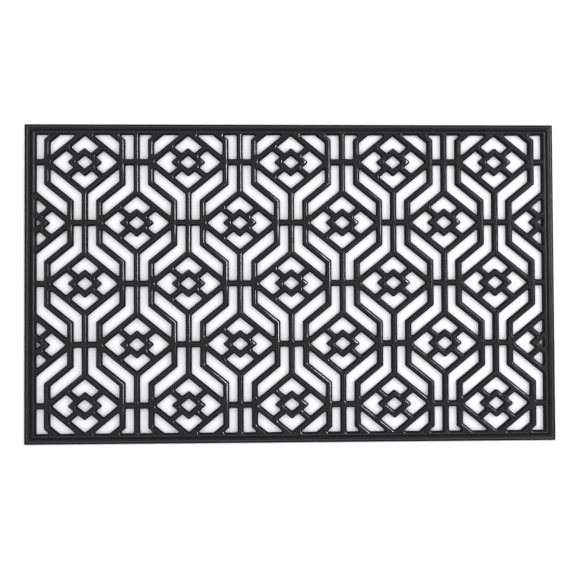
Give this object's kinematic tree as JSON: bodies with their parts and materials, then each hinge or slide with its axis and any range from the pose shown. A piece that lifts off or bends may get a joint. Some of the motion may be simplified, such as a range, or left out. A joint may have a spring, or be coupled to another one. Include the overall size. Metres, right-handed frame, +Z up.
{
  "type": "door mat",
  "caption": "Rectangular openwork door mat of moulded black rubber: a grooved border round a lattice of nested diamonds, zigzag rails, posts and ties.",
  "frame": {"origin": "centre of the underside, on the floor", "axes": "+X along the long side, +Y along the short side towards the back border, +Z up"},
  "size_m": [0.762, 0.4572, 0.009],
  "materials": {
    "rubber": "satin, moulded"
  },
  "bodies": {
    "root": {"border_back": "rubber", "border_front": "rubber", "border_left": "rubber", "border_right": "rubber", "diamond_r1_c1": "rubber", "diamond_r1_c2": "rubber", "diamond_r1_c3": "rubber", "diamond_r1_c4": "rubber", "diamond_r1_c5": "rubber", "diamond_r2_c1": "rubber", "diamond_r2_c2": "rubber", "diamond_r2_c3": "rubber", "diamond_r2_c4": "rubber", "diamond_r3_c1": "rubber", "diamond_r3_c2": "rubber", "diamond_r3_c3": "rubber", "diamond_r3_c4": "rubber", "diamond_r3_c5": "rubber", "diamond_r4_c1": "rubber", "diamond_r4_c2": "rubber", "diamond_r4_c3": "rubber", "diamond_r4_c4": "rubber", "diamond_r5_c1": "rubber", "diamond_r5_c2": "rubber", "diamond_r5_c3": "rubber", "diamond_r5_c4": "rubber", "diamond_r5_c5": "rubber", "half_diamond_r2_left": "rubber", "half_diamond_r2_right": "rubber", "half_diamond_r4_left": "rubber", "half_diamond_r4_right": "rubber", "post_c1": "rubber", "post_c2": "rubber", "post_c3": "rubber", "post_c4": "rubber", "post_c5": "rubber", "post_c6": "rubber", "post_c7": "rubber", "post_c8": "rubber", "post_c9": "rubber", "rail_01": "rubber", "rail_02": "rubber", "rail_03": "rubber", "rail_04": "rubber", "rail_05": "rubber", "rail_06": "rubber", "rail_07": "rubber", "rail_08": "rubber", "rail_09": "rubber", "rail_10": "rubber", "tie_r1": "rubber", "tie_r2": "rubber", "tie_r3": "rubber", "tie_r4": "rubber", "tie_r5": "rubber"}
  },
  "joints": []
}
